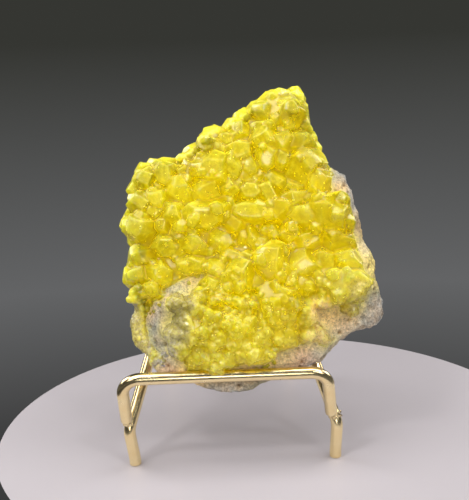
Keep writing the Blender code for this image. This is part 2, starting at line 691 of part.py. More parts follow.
def main():
    remove_scene_objects()
    brass = material("brass", (0.80, 0.58, 0.28), 0.15, 1.0)
    stone = material("matrix_stone", (0.42, 0.37, 0.29), 0.9)
    sulfur = material("sulfur", (0.80, 0.66, 0.02), 0.3)
    carrier = bpy.data.objects.new("specimen_on_easel", None)
    bpy.context.collection.objects.link(carrier)
    pieces = [
        matrix_rock(stone, carrier),
        sulfur_crystals(sulfur, carrier),
        easel_frame(brass, carrier),
        easel_lip(brass, carrier),
        easel_rear_leg(brass, carrier),
    ]
    centre_on_origin(carrier, pieces)


main()
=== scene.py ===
"""Looks of the sulfur specimen: translucent crystals, weathered matrix rock and a brass easel.

Lengths are metres. Places named below are in mm in the design's own coordinates, with x = 0 midway
between the easel's elbows, y = 0 at its front feet and z = 0 on the floor.
"""

import itertools
import math
import random

import bmesh
import bpy
import numpy as np
from mathutils import Matrix, Quaternion, Vector, noise
from mathutils.bvhtree import BVHTree

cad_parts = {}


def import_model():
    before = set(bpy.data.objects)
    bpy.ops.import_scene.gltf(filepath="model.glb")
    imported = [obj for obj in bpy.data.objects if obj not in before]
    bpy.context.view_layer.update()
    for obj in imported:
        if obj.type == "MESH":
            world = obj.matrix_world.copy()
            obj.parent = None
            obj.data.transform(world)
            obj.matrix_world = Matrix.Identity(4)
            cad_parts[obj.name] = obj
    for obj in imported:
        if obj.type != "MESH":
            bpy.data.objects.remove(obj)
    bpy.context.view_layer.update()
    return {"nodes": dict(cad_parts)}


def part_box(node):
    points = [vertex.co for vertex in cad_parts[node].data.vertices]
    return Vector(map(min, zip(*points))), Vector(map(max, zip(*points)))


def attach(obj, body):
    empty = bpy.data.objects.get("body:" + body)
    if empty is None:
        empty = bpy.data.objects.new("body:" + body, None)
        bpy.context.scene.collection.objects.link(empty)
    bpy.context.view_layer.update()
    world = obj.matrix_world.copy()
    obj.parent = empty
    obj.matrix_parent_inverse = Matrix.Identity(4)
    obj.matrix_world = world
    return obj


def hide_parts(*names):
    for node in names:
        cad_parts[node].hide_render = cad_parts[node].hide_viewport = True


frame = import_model()

MM = 0.001

# Corners closer than this are joined
MERGE_DISTANCE = 1e-7

# Depths from which rays towards the back start: in the scene in metres, in the design in mm
FAR_IN_FRONT = -1.0
IN_FRONT = -500

# Place of the design's origin, found from the box of the easel's front wire
FRAME_BOX_MIDDLE = 0.036 * MM
FRAME_FRONT_REACH = 2.31 * MM
frame_low, frame_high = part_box("easel_frame")
ORIGIN = Vector((
    (frame_low.x + frame_high.x) / 2 - FRAME_BOX_MIDDLE,
    frame_low.y + FRAME_FRONT_REACH,
    0.0,
))

# Camera in front of the rock, tipped down a little, with its focal length worked out in pixels
PHOTO_HEIGHT_PIXELS = 500
FOCAL_LENGTH_PIXELS = 754
SENSOR_SIZE = 36
CAMERA_PLACE = Vector((0.0, -180.0, 90.0)) * MM
CAMERA_LENS = FOCAL_LENGTH_PIXELS / PHOTO_HEIGHT_PIXELS * SENSOR_SIZE
CAMERA_TILT = math.radians(11)
CAMERA_ROLL = math.radians(2)
CAMERA_TURN = math.radians(0.6)

# Easel wire
WIRE_RADIUS = 1.5 * MM
WIRE_SIDES = 9
GAP = 0.3 * MM
BEND_RADIUS = 4.5
LEFT_FOOT = -25.4
RIGHT_FOOT = 26.0
FOOT_STRAIGHT = 1.5
ELBOW_HALF_SPACING = 26.4
ELBOW_HEIGHT = 9.8
ELBOW_DEPTH = -1.0
FRAME_LEAN = math.radians(60)
FRAME_TAPER = 0.29
FRAME_LENGTH = 62.0
FRAME_TOP_BEND = 7.0
CROSSBAR_UP_FRAME = 51.0
CROSSBAR_HALF_WIDTH = 15.0
REAR_FOOT_HALF_SPACING = 20.0
REAR_FOOT_DEPTH = 63.0
LIP_CORNERS = ((-26.5, -3.0, 13.2), (-26.7, -7.0, 25.5), (23.25, -7.0, 25.5), (24.6, -3.0, 13.2))
CUT_END_ROUNDING = 0.35 * MM
CUT_END_ANGLE = math.radians(60)

# Solder beads: density of bumps on all, then name, place in mm, half sizes in mm, spikiness
BEAD_BUMPS = 2.6
SOLDER_BEADS = (
    ("solder_left", (-26.3, -2.3, 12.3), (1.15, 1.0, 1.0), 0.8),
    ("solder_right", (25.7, -2.3, 12.6), (1.25, 1.0, 1.1), 1.8),
)

# Rock, whose widest section leans back from the height of its lower end in mm
RIM_BASE_HEIGHT = 26.0
RIM_LEAN = 0.25
ROCK_VOXEL = 0.34 * MM
ROCK_CLEARANCE = 0.08 * MM

# Parts of the normal past which a face looks to the back or downwards
FACES_BACK = 0.2
FACES_DOWN = -0.4

# Yellow of the rock: painted below the crust, and dusted beside it, with distances in mm
TOWARDS_FRONT = Vector((0, -1, 0.25)).normalized()
FRONT_COATING_REACH = 15 * MM
COATING_REACH = 3 * MM
COATING_TOUCH = 0.4
DUSTING_START = 0.3
DUSTING_FADE = 1.2
DUSTING_MOST = 0.8

# Crust: reach of its thin parts from the rock, lift of a ray's start off a face in mm, and how near
# the rock lies in front of a face that looks inwards
CRUST_REACH = 2.5 * MM
LIFT_OFF = 0.01
INSIDE_REACH = 1.0 * MM

# Sulfur lump and its material
LUMP_VOXEL = 0.2 * MM
LUMP_TRIANGLES = 195000
LUMP_CLEARANCE = 0.12 * MM
SCATTER = 3.0 * MM
CLEARNESS = 0.87
LEAST_CLEARNESS = 0.1
ROUGHNESS = 0.18
SEED = 5

# Crystal shapes: lengths of the mineral's axes, number of shapes, unevenness of their faces
SULFUR_AXES = (0.813, 1.0, 1.903)
HABITS = 24
HABIT_SPREAD = 0.12

# Hollow crease between two crystals of the crust
CREASE_ANGLE = math.radians(-12)

# Core inside the crust in mm: swell below the crust, sink below bare rock, reach behind the rim
CORE_SWELL = 0.6
CORE_SINK = 0.9
CORE_PAST_RIM = 6

# Heights in mm below which the crystals are all small or granular, and over which this fades
SMALL_BELOW = 38
SMALL_FADE = 12
GRANULAR_BELOW = 33
GRANULAR_FADE = 9

# Layers of grown crystals in mm: spacing, smallest, largest, share of the size sunk in
CRUST_LAYER = (3.6, 2.6, 4.6, 0.1)
SCATTERED_LAYER = (8.0, 2.2, 4.0, 0.3)
LOW_LAYERS = ((1.7, 1.4, 2.9, 0.12), (1.5, 0.9, 1.6, 0.05))
ROCK_LAYER = (1.7, 0.9, 1.8, 0.2)
ROCK_LAYER_FADE = 1.6 * MM

# Power that makes small sizes more frequent than large ones
SIZE_SKEW = 1.6

# Share of its size to each side within which a crystal has to have sulfur behind it
LARGE_COVER = 0.5
SMALL_COVER = 0.3

# Colours of the sulfur, and of what it leaves on the rock
# Deep gold is both the golden patches and painted shade in the crevices
DEEP_GOLD_AND_CREVICE_SHADE = (0.98, 0.79, 0.0)
# Pale yellow is partly random paleness and partly painted light on upward faces and crests
PALE_YELLOW_AND_TOP_LIGHT = (0.98, 0.86, 0.03)
VEIL_YELLOW = (0.99, 0.88, 0.10)
SUGAR_YELLOW = (0.98, 0.85, 0.12)
# Edge yellow is a painted highlight along sharp edges
EDGE_HIGHLIGHT_YELLOW = (0.99, 0.92, 0.14)
SIDE_YELLOW = (0.90, 0.77, 0.08)
ROCK_COATING = (0.99, 0.85, 0.03)
ROCK_DUSTING = (0.80, 0.70, 0.20)
ROCK_STAIN = (0.62, 0.42, 0.22)

# Olive patch of rock in mm, which stays free of grown crystals
OLIVE_MIDDLE = (-11.8, 40.0)
OLIVE_HALF_WIDTH = 4.5
OLIVE_HALF_HEIGHT = 9.0

# Crystals that break up the faces of larger ones in mm: x, z, size
PLACED_SINK = 0.15
PLACED_CRYSTALS = (
    (28.0, 66.4, 4.6), (22.4, 66.6, 4.2), (29.4, 61.0, 4.4), (22.0, 60.2, 3.8), (25.6, 58.8, 4.2),
    (26.2, 63.4, 4.0), (-2.0, 65.6, 3.6), (-7.6, 63.0, 3.8), (2.6, 47.2, 3.6), (12.4, 49.6, 3.2),
    (8.0, 53.2, 3.4), (16.8, 88.4, 4.0), (20.0, 84.6, 3.4), (13.0, 85.6, 3.8), (28.6, 48.4, 3.0),
    (31.0, 45.0, 3.2), (26.0, 44.4, 2.8), (11.0, 43.6, 3.4), (-3.8, 81.4, 3.2), (10.6, 39.8, 3.0),
)

# Tones of bare rock and of thin crust
TONES = {
    "grey": (0.47, 0.44, 0.38),
    "slate": (0.28, 0.30, 0.31),
    "pink": (0.74, 0.49, 0.33),
    "beige": (0.92, 0.66, 0.27),
    "olive": (0.74, 0.61, 0.17),
    "cream": (0.90, 0.78, 0.56),
    "umber": (0.52, 0.36, 0.18),
    "moss": (0.40, 0.34, 0.11),
    "lemon": (0.60, 0.49, 0.10),
    "straw": (0.54, 0.46, 0.18),
    "rust": (0.97, 0.67, 0.25),
}

# Broad patches of tone on the matrix in mm: x, z, radius, tone
TONE_PATCHES = (
    (-12.6, 46.6, 2.4, "slate"), (-16.6, 42.0, 2.2, "grey"), (-19.6, 37.0, 2.6, "slate"),
    (-16.8, 45.0, 1.9, "pink"), (-19.4, 41.8, 1.9, "pink"), (-21.8, 38.6, 1.8, "pink"),
    (-18.4, 32.6, 2.8, "slate"), (-16.6, 28.4, 2.6, "grey"), (-10.2, 49.6, 2.0, "pink"),
    (-9.0, 45.4, 3.2, "olive"), (-12.0, 40.4, 3.4, "olive"), (-13.0, 35.4, 3.2, "olive"),
    (-10.0, 34.0, 4.0, "olive"), (-16.0, 26.6, 1.8, "pink"), (-8.0, 26.4, 4.0, "beige"),
    (28.0, 72.6, 4.0, "slate"), (28.4, 68.0, 2.0, "rust"), (31.2, 64.2, 3.0, "slate"),
    (32.4, 59.4, 3.4, "umber"), (33.6, 55.0, 2.4, "moss"), (33.4, 53.2, 1.6, "cream"),
    (32.2, 50.2, 1.8, "pink"), (35.4, 50.2, 2.4, "olive"), (34.6, 45.2, 3.2, "olive"),
    (32.0, 40.8, 2.2, "olive"), (37.6, 43.4, 1.8, "moss"), (36.8, 40.2, 2.6, "slate"),
    (38.8, 38.4, 2.6, "slate"), (34.6, 37.0, 3.0, "grey"), (23.8, 40.4, 3.4, "beige"),
    (26.4, 37.4, 3.4, "beige"), (21.4, 34.6, 3.4, "beige"), (28.6, 36.6, 2.0, "pink"),
    (27.2, 34.2, 2.4, "grey"), (17.2, 28.8, 3.0, "pink"), (22.2, 30.0, 3.0, "grey"),
    (11.0, 27.6, 3.4, "beige"), (2.0, 27.0, 4.0, "beige"), (3.4, 21.0, 6.0, "slate"),
    (14.0, 23.4, 5.0, "slate"), (-1.0, 20.6, 4.0, "slate"), (7.0, 20.6, 4.0, "moss"),
)

# Fade of the tones behind the rock's rim, and waviness of the patches' edges in mm
ZONE_FADE = 8 * MM
ZONE_LEAST = 0.15
ZONE_WARP = 1.8
ZONE_WARP_SIZE = 5 * MM
BASE_WEIGHT = 0.06

# Distance in mm in front of the rock's rim over which the crystals turn cloudy
RIM_BLUR = 3.5

# Part of the normal over which the crystals turn cloudy towards the back
SIDE_FADE = 0.35

# Crystals without rock behind them, in this direction and within this distance, turn cloudy
AWAY = Vector((0, 1, -0.2)).normalized()
BACKED_REACH = 16 * MM
UNBACKED_CLOUD = 0.65

# Dull patches of thin crust in mm: x, z, half width, half height, tone
DULL_PATCHES = (
    (-11.5, 44.0, 4.4, 4.0, "moss"), (-13.0, 38.0, 5.0, 5.0, "moss"), (-15.5, 32.5, 3.4, 4.0, "grey"),
    (-23.8, 38.0, 3.0, 7.0, "straw"), (-21.5, 31.0, 2.6, 5.0, "straw"), (-17.5, 27.5, 2.6, 2.6, "grey"),
    (24.5, 34.0, 7.0, 4.2, "rust"), (17.0, 29.5, 7.0, 2.4, "rust"), (22.0, 40.5, 3.6, 3.4, "rust"),
    (31.5, 46.0, 4.0, 3.4, "lemon"), (35.5, 42.0, 3.0, 3.0, "moss"), (30.5, 39.5, 3.2, 3.0, "moss"),
)

# Rounds of smoothing over the mesh: the first shapes dull patches, the rest spread painted values
DULL_ROUNDS = 40
CREST_ROUNDS = 80
EDGE_ROUNDS = 5
RISE_ROUNDS = 6
FACING_ROUNDS = 12
UNBACKED_ROUNDS = 10
TONE_ROUNDS = 2

# Granular patches of sulfur in mm: x, z, radius
SUGAR_PATCHES = ((29.0, 46.0, 6.0), (-10.0, 43.0, 5.0), (-22.5, 37.0, 4.0), (33.0, 50.0, 4.0))

# Deep golden patches of sulfur in mm: x, z, radius
GOLD_PATCHES = (
    (12.9, 59.5, 6.0), (20.5, 57.0, 6.0), (3.0, 60.0, 4.5), (24.0, 69.0, 4.5), (-3.0, 69.5, 3.5),
    (-16.0, 62.0, 3.0), (9.5, 50.0, 4.0), (14.5, 43.0, 4.0), (16.0, 36.5, 3.5), (-20.0, 53.5, 3.0),
    (13.0, 67.0, 3.0), (27.0, 58.0, 3.5), (-9.0, 76.5, 2.5), (17.5, 79.0, 3.0),
)

# Floor
FLOOR_MIDDLE = Vector((10.9, 25.6, 0.0)) * MM
FLOOR_RADIUS = 76.2 * MM
FLOOR_DROP = 0.05 * MM
FLOOR_COLOR = (0.462, 0.424, 0.444)
FLOOR_ROUGHNESS = 0.42

# Lamps in metres: name, place, target, width, depth, radiance
ROCK_MIDDLE = (0.005, 0.0, 0.045)
LAMPS = (
    ("overhead", (0.0, -0.07, 0.45), (0.0, -0.07, 0.0), 1.0, 0.2, 4.0),
    ("left_front", (-0.46, -0.40, 0.40), ROCK_MIDDLE, 0.25, 0.25, 3.6),
    ("right_front", (0.46, -0.40, 0.40), ROCK_MIDDLE, 0.25, 0.25, 3.5),
    ("front_fill", (0.0, -0.60, 0.12), ROCK_MIDDLE, 0.2, 0.12, 6.5),
    ("front_softbox", (0.0, -0.55, 0.28), ROCK_MIDDLE, 0.9, 0.5, 1.55),
    ("back_left", (-0.42, 0.22, 0.24), ROCK_MIDDLE, 0.25, 0.25, 5.0),
    ("back_right", (0.42, 0.22, 0.24), ROCK_MIDDLE, 0.25, 0.25, 4.0),
    ("sparkle_left", (-0.16, -0.22, 0.36), ROCK_MIDDLE, 0.045, 0.045, 55.0),
    ("sparkle_right", (0.16, -0.28, 0.30), ROCK_MIDDLE, 0.03, 0.03, 80.0),
)

# Lamps that light the object but show in no reflection
NOT_REFLECTED = ("front_softbox",)

# World: height of the view direction from 0 to 1, colour
WORLD_STOPS = (
    (0.10, (0.045, 0.045, 0.045)),
    (0.27, (0.125, 0.127, 0.13)),
    (0.58, (0.036, 0.037, 0.032)),
)


def place(x, y, z):
    """A design place in mm as a place in the scene."""
    return ORIGIN + Vector((x, y, z)) * MM


def add_object(name, data, finish=None):
    new_object = bpy.data.objects.new(name, data)
    bpy.context.scene.collection.objects.link(new_object)
    if finish:
        data.materials.clear()
        data.materials.append(finish)
    return new_object


# Materials


class Nodes:
    """Short helpers for building one node tree."""

    def __init__(self, name):
        self.material = bpy.data.materials.new(name)
        self.material.use_nodes = True
        self.tree = self.material.node_tree
        self.shader = self.tree.nodes["Principled BSDF"]

    def add(self, kind, **settings):
        node = self.tree.nodes.new(kind)
        for key, value in settings.items():
            setattr(node, key, value)
        return node

    def link(self, start, end):
        self.tree.links.new(start, end)

    def value(self, name):
        """A number stored at each place of the mesh."""
        return self.add("ShaderNodeAttribute", attribute_name=name).outputs["Fac"]

    def color(self, name):
        """A colour stored at each place of the mesh."""
        return self.add("ShaderNodeAttribute", attribute_name=name).outputs["Color"]

    def object_place(self):
        return self.add("ShaderNodeTexCoord").outputs["Object"]

    def noise(self, size, detail=4.0, roughness=0.55):
        """Noise with features of about this size in metres."""
        node = self.add("ShaderNodeTexNoise")
        node.inputs["Scale"].default_value = 1 / size
        node.inputs["Detail"].default_value = detail
        node.inputs["Roughness"].default_value = roughness
        self.link(self.object_place(), node.inputs["Vector"])
        return node.outputs["Fac"]

    def ramp(self, source, stops):
        node = self.add("ShaderNodeValToRGB")
        ramp = node.color_ramp
        while len(ramp.elements) < len(stops):
            ramp.elements.new(0.5)
        for element, (position, color) in zip(ramp.elements, stops):
            element.position = position
            element.color = (*color, 1.0)
        self.link(source, node.inputs["Fac"])
        return node.outputs["Color"]

    def math(self, operation, first, second):
        node = self.add("ShaderNodeMath", operation=operation)
        for socket, value in zip(node.inputs, (first, second)):
            if isinstance(value, (int, float)):
                socket.default_value = value
            else:
                self.link(value, socket)
        return node.outputs[0]

    def weighted_sum(self, parts):
        """Sum of the values, each times its share."""
        total = 0.0
        for value, share in parts:
            total = self.math("ADD", total, self.math("MULTIPLY", value, share))
        return total

    def map_range(self, source, low, high, to_low=0.0, to_high=1.0):
        node = self.add("ShaderNodeMapRange")
        node.inputs["From Min"].default_value = low
        node.inputs["From Max"].default_value = high
        node.inputs["To Min"].default_value = to_low
        node.inputs["To Max"].default_value = to_high
        self.link(source, node.inputs["Value"])
        return node.outputs["Result"]

    def mix(self, factor, first, second, blend="MIX"):
        """Mix two colours, each a socket or an RGB triple."""
        node = self.add("ShaderNodeMix", data_type="RGBA", blend_type=blend)
        sockets = (node.inputs["Factor"], node.inputs[6], node.inputs[7])
        for socket, value in zip(sockets, (factor, first, second)):
            if isinstance(value, (int, float)):
                socket.default_value = value
            elif isinstance(value, tuple):
                socket.default_value = (*value, 1.0)
            else:
                self.link(value, socket)
        return node.outputs[2]

    def bump(self, height, distance, strength=1.0):
        node = self.add("ShaderNodeBump")
        node.inputs["Strength"].default_value = strength
        node.inputs["Distance"].default_value = distance
        self.link(height, node.inputs["Height"])
        self.link(node.outputs["Normal"], self.shader.inputs["Normal"])


def sulfur_color(nodes, cloud, gold, pale_tone_and_light, veil):
    """Deep yellow in the crevices as painted shade, paler on tops and edges as painted light, paler on
    sides, and grainy where it is dull.
    """
    side = nodes.value("side")
    sugar = nodes.value("sugar")
    # Painted shade: deeper gold in the crevices, lighter on crests, with a little random cloud
    crevice_shaded_gold = nodes.ramp(nodes.weighted_sum(((nodes.value("crest"), 1.0), (cloud, 0.25))), (
        (0.0, DEEP_GOLD_AND_CREVICE_SHADE),
        (0.3, (0.98, 0.82, 0.0)),
        (0.6, (0.99, 0.84, 0.0)),
        (0.9, (0.99, 0.85, 0.0)),
    ))
    grain = nodes.ramp(nodes.noise(0.7 * MM, 5.0, 0.75), (
        (0.36, (0.50, 0.46, 0.40)),
        (0.46, (0.90, 0.88, 0.85)),
        (0.56, (1.10, 1.10, 1.10)),
        (0.66, (1.35, 1.35, 1.40)),
    ))
    # Painted highlight: paler yellow along sharp convex edges, weaker in golden patches
    edge_highlight_share = nodes.math("MULTIPLY", nodes.value("edge"), nodes.map_range(gold, 0.0, 1.0, 0.6, 0.3))
    color = nodes.mix(nodes.math("MULTIPLY", gold, 0.7), crevice_shaded_gold, DEEP_GOLD_AND_CREVICE_SHADE)
    color = nodes.mix(pale_tone_and_light, color, PALE_YELLOW_AND_TOP_LIGHT)
    color = nodes.mix(nodes.math("MULTIPLY", veil, 0.6), color, VEIL_YELLOW)
    color = nodes.mix(nodes.math("MULTIPLY", sugar, 0.6), color, SUGAR_YELLOW)
    color = nodes.mix(edge_highlight_share, color, EDGE_HIGHLIGHT_YELLOW)
    color = nodes.mix(nodes.math("MULTIPLY", side, 0.8), color, SIDE_YELLOW)
    color = nodes.mix(nodes.math("MULTIPLY", sugar, 0.45), color, grain, "MULTIPLY")
    dull_color = nodes.mix(1.0, nodes.color("dull_tone"), grain, "MULTIPLY")
    return nodes.mix(nodes.value("dull"), color, dull_color)


def sulfur_material():
    """Clear yellow that scatters light, clouded and pale on tops, edges and sides; the paleness on tops
    and edges is painted light, and the deeper yellow in the crevices painted shade.
    """
    nodes = Nodes("sulfur")
    side = nodes.value("side")
    sugar = nodes.value("sugar")
    gold = nodes.value("gold")
    cloud = nodes.map_range(nodes.noise(2.5 * MM), 0.3, 0.7, -0.5, 0.5)
    flecks = nodes.map_range(nodes.noise(1.1 * MM, 5.0, 0.65), 0.35, 0.65, -0.5, 0.5)
    # Partly painted light: upward faces paler, mixed with random tone, cloud, flecks and sides
    top_light_and_tone = nodes.weighted_sum((
        (nodes.value("top_light_rise"), 0.7), (nodes.value("tone"), 0.6), (cloud, 0.35), (flecks, 0.5), (side, 0.3),
    ))
    # Painted shade: paleness and veil kept to the crests and off the crevices, and less in golden patches
    crest_light_share = nodes.map_range(nodes.value("crest"), 0.35, 0.6)
    crest_light_share = nodes.math("MULTIPLY", crest_light_share, nodes.map_range(gold, 0.0, 1.0, 1.0, 0.15))
    pale_tone_and_light = nodes.math("MULTIPLY", nodes.map_range(top_light_and_tone, 0.2, 1.1), crest_light_share)
    veil = nodes.map_range(nodes.noise(1.5 * MM, 4.0, 0.6), 0.48, 0.66)
    veil = nodes.math("MULTIPLY", veil, crest_light_share)
    nodes.link(sulfur_color(nodes, cloud, gold, pale_tone_and_light, veil), nodes.shader.inputs["Base Color"])
    cloudiness = nodes.weighted_sum((
        (pale_tone_and_light, 0.12), (side, 0.75), (nodes.value("edge"), 0.08), (sugar, 0.12),
        (nodes.value("dull"), 0.8), (veil, 0.12),
    ))
    clear = nodes.math("MAXIMUM", nodes.math("SUBTRACT", CLEARNESS, cloudiness), LEAST_CLEARNESS)
    nodes.link(clear, nodes.shader.inputs["Transmission Weight"])
    nodes.shader.inputs["Subsurface Weight"].default_value = 1.0
    nodes.shader.inputs["Subsurface Radius"].default_value = (1.0, 1.0, 0.05)
    nodes.shader.inputs["Subsurface Scale"].default_value = SCATTER
    nodes.shader.inputs["IOR"].default_value = 1.45
    nodes.shader.inputs["Coat Weight"].default_value = 0.25
    nodes.shader.inputs["Coat IOR"].default_value = 1.7
    nodes.shader.inputs["Coat Roughness"].default_value = 0.05
    rough = nodes.map_range(nodes.noise(1.6 * MM), 0.35, 0.7, ROUGHNESS * 0.7, ROUGHNESS * 1.7)
    nodes.link(rough, nodes.shader.inputs["Roughness"])
    frosting = nodes.map_range(sugar, 0.0, 1.0, 0.35, 1.0)
    nodes.bump(nodes.math("MULTIPLY", nodes.noise(0.9 * MM, 5.0, 0.6), frosting), 0.1 * MM, 0.7)
    return nodes.material


def matrix_material():
    """Granular rock whose tone is painted in broad zones and broken up by fine grain, with painted shade
    in its pits and between grains and painted light on grain tops.
    """
    nodes = Nodes("matrix_stone")
    zone = nodes.color("zone")
    grain = nodes.noise(0.65 * MM, 5.0, 0.78)
    patches = nodes.noise(3.0 * MM, 4.0, 0.6)
    relief = nodes.value("relief")
    shade = nodes.ramp(grain, (
        (0.34, (0.34, 0.33, 0.32)),
        (0.45, (0.82, 0.81, 0.80)),
        (0.55, (1.15, 1.15, 1.15)),
        (0.66, (1.75, 1.72, 1.65)),
    ))
    stained = nodes.mix(nodes.map_range(patches, 0.45, 0.62), zone, ROCK_STAIN)
    mixed = nodes.mix(0.35, zone, stained)
    speckled = nodes.mix(1.0, mixed, shade, "MULTIPLY")
    # Painted shade: darker brown in pits and between grains, painted light on grain tops
    pit_shade = nodes.ramp(relief, (
        (0.0, (0.45, 0.33, 0.22)),
        (0.4, (0.92, 0.88, 0.84)),
        (1.0, (1.15, 1.15, 1.15)),
    ))
    bare = nodes.mix(1.0, speckled, pit_shade, "MULTIPLY")
    dusting = nodes.value("dusting")
    broken = nodes.map_range(grain, 0.4, 0.55, 0.35, 1.0)
    bare = nodes.mix(nodes.math("MULTIPLY", dusting, broken), bare, ROCK_DUSTING)
    coating = nodes.value("coating")
    nodes.link(nodes.mix(coating, bare, ROCK_COATING), nodes.shader.inputs["Base Color"])
    nodes.shader.inputs["Roughness"].default_value = 0.78
    nodes.bump(nodes.noise(0.5 * MM, 6.0, 0.75), 0.36 * MM, 0.85)
    return nodes.material


def brass_material():
    """Polished wire, a little uneven where it was drawn and bent."""
    nodes = Nodes("polished_brass")
    tarnish = nodes.noise(3.0 * MM, 3.0)
    color = nodes.ramp(tarnish, (
        (0.3, (0.88, 0.69, 0.36)),
        (0.7, (0.95, 0.79, 0.46)),
    ))
    nodes.link(color, nodes.shader.inputs["Base Color"])
    nodes.shader.inputs["Metallic"].default_value = 1.0
    nodes.link(nodes.map_range(tarnish, 0.3, 0.7, 0.2, 0.28), nodes.shader.inputs["Roughness"])
    nodes.bump(nodes.noise(1.4 * MM, 2.0), 0.03 * MM, 0.4)
    return nodes.material


def floor_material():
    nodes = Nodes("pale_floor")
    nodes.shader.inputs["Base Color"].default_value = (*FLOOR_COLOR, 1.0)
    nodes.shader.inputs["Roughness"].default_value = FLOOR_ROUGHNESS
    return nodes.material


# Easel


def rounded_path(corners, radii, arc_steps=12):
    """The line through the corners, with each inner corner bent to its radius."""
    points = [corners[0]]
    for before, corner, after, radius in zip(corners, corners[1:], corners[2:], radii):
        back = (before - corner).normalized()
        ahead = (after - corner).normalized()
        half_angle = back.angle(ahead) / 2
        setback = radius / math.tan(half_angle)
        centre = corner + (back + ahead).normalized() * radius / math.sin(half_angle)
        start = corner + back * setback - centre
        end = corner + ahead * setback - centre
        for step in range(arc_steps + 1):
            turned = Quaternion(start.cross(end), start.angle(end) * step / arc_steps) @ start
            points.append(centre + turned)
    points.append(corners[-1])
    return points


def frame_point(side, up):
    """A point on the left (-1) or right (1) frame wire, this far up its slope."""
    return Vector((
        side * (ELBOW_HALF_SPACING - FRAME_TAPER * up),
        ELBOW_DEPTH + up * math.cos(FRAME_LEAN),
        ELBOW_HEIGHT + up * math.sin(FRAME_LEAN),
    ))


def frame_path():
    left_foot = Vector((LEFT_FOOT, 0, 0))
    right_foot = Vector((RIGHT_FOOT, 0, 0))
    above_foot = Vector((0, 0, FOOT_STRAIGHT))
    corners = [
        left_foot, left_foot + above_foot,
        frame_point(-1, 0), frame_point(-1, FRAME_LENGTH),
        frame_point(1, FRAME_LENGTH), frame_point(1, 0),
        right_foot + above_foot, right_foot,
    ]
    radii = (BEND_RADIUS, BEND_RADIUS, FRAME_TOP_BEND, FRAME_TOP_BEND, BEND_RADIUS, BEND_RADIUS)
    return rounded_path(corners, radii)


def lip_path():
    return rounded_path([Vector(corner) for corner in LIP_CORNERS], (BEND_RADIUS, BEND_RADIUS))


def rear_leg_path():
    behind_frame = (2 * WIRE_RADIUS + GAP) / MM
    meeting = frame_point(0, CROSSBAR_UP_FRAME)
    crossbar_depth = meeting.y + behind_frame * math.sin(FRAME_LEAN)
    crossbar_height = meeting.z - behind_frame * math.cos(FRAME_LEAN)
    corners = []
    for side in (-1, 1):
        foot = Vector((side * REAR_FOOT_HALF_SPACING, REAR_FOOT_DEPTH, 0))
        leg = [foot, foot + Vector((0, 0, FOOT_STRAIGHT))]
        leg.append(Vector((side * CROSSBAR_HALF_WIDTH, crossbar_depth, crossbar_height)))
        corners += leg if side < 0 else reversed(leg)
    return rounded_path(corners, (FOOT_STRAIGHT, BEND_RADIUS, BEND_RADIUS, FOOT_STRAIGHT))


def tube(name, path, finish, node):
    """A smooth wire along a path in mm, with softly rounded cut ends, in place of a CAD node."""
    curve = bpy.data.curves.new(name, "CURVE")
    curve.dimensions = "3D"
    curve.bevel_depth = WIRE_RADIUS
    curve.bevel_resolution = WIRE_SIDES
    curve.use_fill_caps = True
    spline = curve.splines.new("POLY")
    spline.points.add(len(path) - 1)
    for spline_point, point in zip(spline.points, path):
        spline_point.co = (*place(*point), 1.0)
    swept = add_object(name + "_curve", curve)
    graph = bpy.context.evaluated_depsgraph_get()
    mesh = bpy.data.meshes.new_from_object(swept.evaluated_get(graph))
    bpy.data.objects.remove(swept)
    bm = bmesh.new()
    bm.from_mesh(mesh)
    bmesh.ops.remove_doubles(bm, verts=bm.verts, dist=MERGE_DISTANCE)
    rims = [edge for edge in bm.edges if edge.calc_face_angle(0) > CUT_END_ANGLE]
    bmesh.ops.bevel(bm, geom=rims, offset=CUT_END_ROUNDING, segments=3, affect="EDGES", profile=0.5)
    bm.to_mesh(mesh)
    bm.free()
    mesh.shade_smooth()
    wire = add_object(name, mesh, finish)
    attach(wire, "root")
    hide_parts(node)


def solder_bead(name, spot, size, spikiness, finish):
    """A small rough bead of solder between an arm of the lip and the elbow below it."""
    bm = bmesh.new()
    bmesh.ops.create_icosphere(bm, subdivisions=4, radius=1.0)
    for vert in bm.verts:
        swell = 1 + spikiness * max(0.0, noise.noise(vert.co * BEAD_BUMPS + Vector(spot))) ** 1.5
        swollen = vert.co * swell
        vert.co = place(*spot) + Vector(part * length for part, length in zip(swollen, size)) * MM
    mesh = bpy.data.meshes.new(name)
    bm.to_mesh(mesh)
    bm.free()
    mesh.shade_smooth()
    bead = add_object(name, mesh, finish)
    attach(bead, "root")
    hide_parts("easel_lip")


# Arrays of a mesh


def vert_places(mesh):
    co = np.empty(len(mesh.vertices) * 3, np.float32)
    mesh.vertices.foreach_get("co", co)
    return co.reshape(-1, 3).astype(float)


def vert_normals(mesh):
    normals = np.empty(len(mesh.vertices) * 3, np.float32)
    mesh.vertex_normals.foreach_get("vector", normals)
    return normals.reshape(-1, 3).astype(float)


def edge_ends(mesh):
    ends = np.empty(len(mesh.edges) * 2, np.int32)
    mesh.edges.foreach_get("vertices", ends)
    return ends.reshape(-1, 2)


def set_places(mesh, co):
    mesh.vertices.foreach_set("co", co.astype(np.float32).ravel())
    mesh.update()


def set_value(mesh, name, values):
    mesh.attributes.new(name, "FLOAT", "POINT").data.foreach_set("value", values.astype(np.float32))


def set_color(mesh, name, values):
    colors = np.ones((len(values), 4), np.float32)
    colors[:, :3] = values
    mesh.attributes.new(name, "FLOAT_COLOR", "POINT").data.foreach_set("color", colors.ravel())


